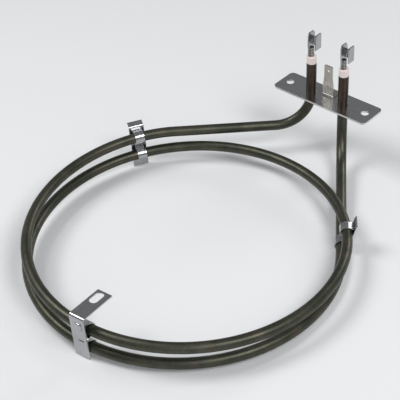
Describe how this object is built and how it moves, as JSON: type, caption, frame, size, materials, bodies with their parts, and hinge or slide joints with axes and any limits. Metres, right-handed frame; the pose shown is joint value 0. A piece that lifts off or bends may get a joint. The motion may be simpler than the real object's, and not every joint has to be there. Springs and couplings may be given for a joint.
{
  "type": "tubular heating element",
  "caption": "Ring-shaped sheathed heating element with a screw flange, ceramic beads, push-on blade terminals and sheet-metal ring clips.",
  "frame": {"origin": "midpoint between the two screw holes, on the flange's terminal side", "axes": "+X along the flange through both screw holes, -Y towards the ring, +Z along the tube ends towards the terminals"},
  "size_m": [0.1955, 0.2412, 0.0876],
  "materials": {
    "sheath": "oxidised satin",
    "flange_steel": "satin",
    "clip_steel": "bright rolled",
    "terminal_steel": "bright rolled",
    "bead_ceramic": "matt",
    "seal_resin": "matt",
    "insulation": "matt",
    "winding": "plain",
    "braze": "satin"
  },
  "bodies": {
    "root": {"sheath_tube": "sheath", "insulation_fill": "insulation", "resistance_coil": "winding", "mounting_flange": "flange_steel", "earth_tab": "clip_steel", "terminal_pin_left": "terminal_steel", "ceramic_bead_left": "bead_ceramic", "end_seal_left": "seal_resin", "twin_tab_left": "terminal_steel", "braze_ring_left": "braze", "terminal_pin_right": "terminal_steel", "ceramic_bead_right": "bead_ceramic", "end_seal_right": "seal_resin", "twin_tab_right": "terminal_steel", "braze_ring_right": "braze", "front_clip_plate": "clip_steel", "front_clip_strip": "clip_steel", "left_clip_plate": "clip_steel", "left_clip_strip": "clip_steel", "right_clip_plate": "clip_steel", "right_clip_strip": "clip_steel"}
  },
  "joints": []
}
